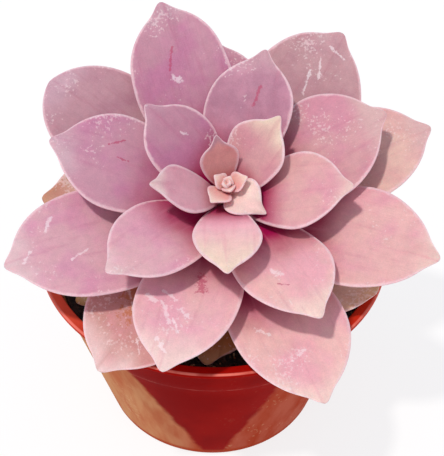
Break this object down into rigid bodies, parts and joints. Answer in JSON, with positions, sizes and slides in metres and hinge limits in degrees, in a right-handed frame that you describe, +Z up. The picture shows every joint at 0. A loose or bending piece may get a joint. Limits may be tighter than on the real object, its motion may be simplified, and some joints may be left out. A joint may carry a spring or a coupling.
{
  "type": "potted graptopetalum superbum",
  "caption": "Rosette succulent with thick dusty-pink pointed leaves on a short leaning stem, growing in soil in a shallow round tapered pot with a flat lip.",
  "frame": {"origin": "centre of the flat underside of the pot", "axes": "+Z up along the pot's axis, +X to the viewer's right, +Y away from the viewer, towards whom the rosette leans"},
  "size_m": [0.1364, 0.1321, 0.1352],
  "materials": {
    "pot_plastic": "gloss, dusty on its flanks",
    "soil_mix": "matt, dark and gritty",
    "stem_bark": "matt, leaf-scarred",
    "bud_skin": "matt, waxy",
    "leaf_skin": "matt, waxy with a pale bloom",
    "old_leaf_skin": "matt, drying"
  },
  "bodies": {
    "root": {"pot": "pot_plastic", "soil": "soil_mix", "stem": "stem_bark", "shoot_tip": "bud_skin", "leaf_00": "leaf_skin", "leaf_01": "leaf_skin", "leaf_02": "leaf_skin", "leaf_03": "leaf_skin", "leaf_04": "leaf_skin", "leaf_05": "leaf_skin", "leaf_06": "leaf_skin", "leaf_07": "leaf_skin", "leaf_08": "leaf_skin", "leaf_09": "leaf_skin", "leaf_10": "leaf_skin", "leaf_11": "leaf_skin", "leaf_12": "leaf_skin", "leaf_13": "leaf_skin", "leaf_14": "leaf_skin", "leaf_15": "leaf_skin", "leaf_16": "leaf_skin", "leaf_17": "leaf_skin", "leaf_18": "leaf_skin", "leaf_19": "leaf_skin", "leaf_20": "leaf_skin", "leaf_21": "leaf_skin", "leaf_22": "old_leaf_skin", "leaf_23": "old_leaf_skin", "leaf_24": "old_leaf_skin", "leaf_25": "old_leaf_skin", "leaf_26": "old_leaf_skin", "leaf_27": "old_leaf_skin", "leaf_28": "old_leaf_skin"}
  },
  "joints": []
}
